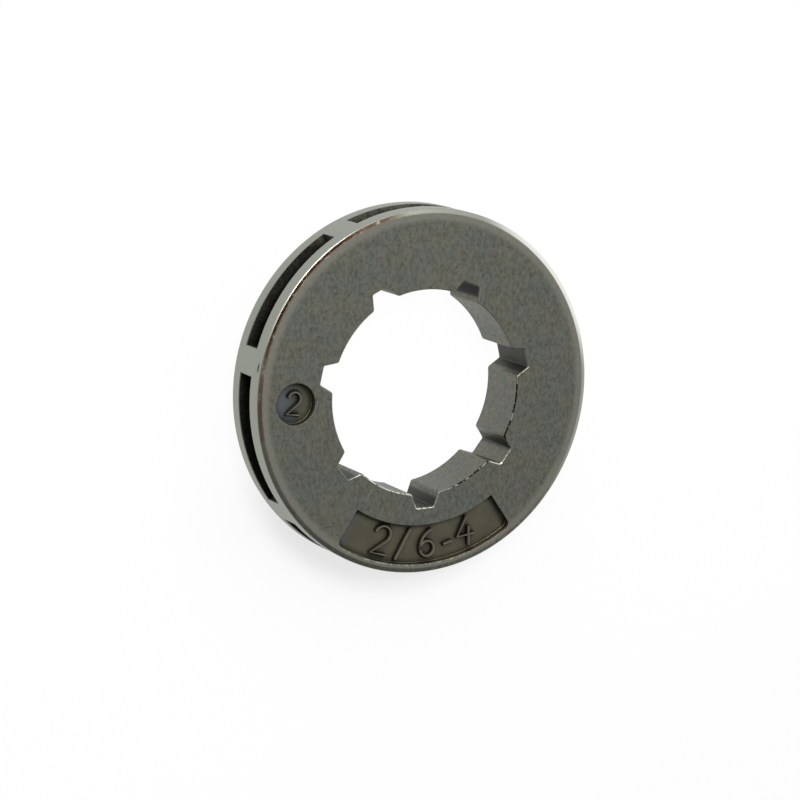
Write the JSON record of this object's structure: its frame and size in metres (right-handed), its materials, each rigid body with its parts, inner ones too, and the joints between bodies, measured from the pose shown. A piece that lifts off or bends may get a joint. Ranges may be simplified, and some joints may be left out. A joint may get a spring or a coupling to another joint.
{
  "type": "drive sprocket",
  "caption": "Ring-shaped drive sprocket: side rims joined by tooth bars, with windows between the bars that the links of a saw chain drop into, round a splined bore that slides on a hub.",
  "frame": {"origin": "middle of the plain back face, on the sprocket's axis", "axes": "+Z along the axis, from the back face to the marked front face; -Y from the axis towards the sunk panel; -X towards the round spot"},
  "size_m": [0.037, 0.037, 0.0061],
  "materials": {
    "cast_steel": "satin grey cast steel with a fine vertical grain, brown tint in the corners"
  },
  "bodies": {
    "root": {"drive_sprocket": "cast_steel"}
  },
  "joints": []
}
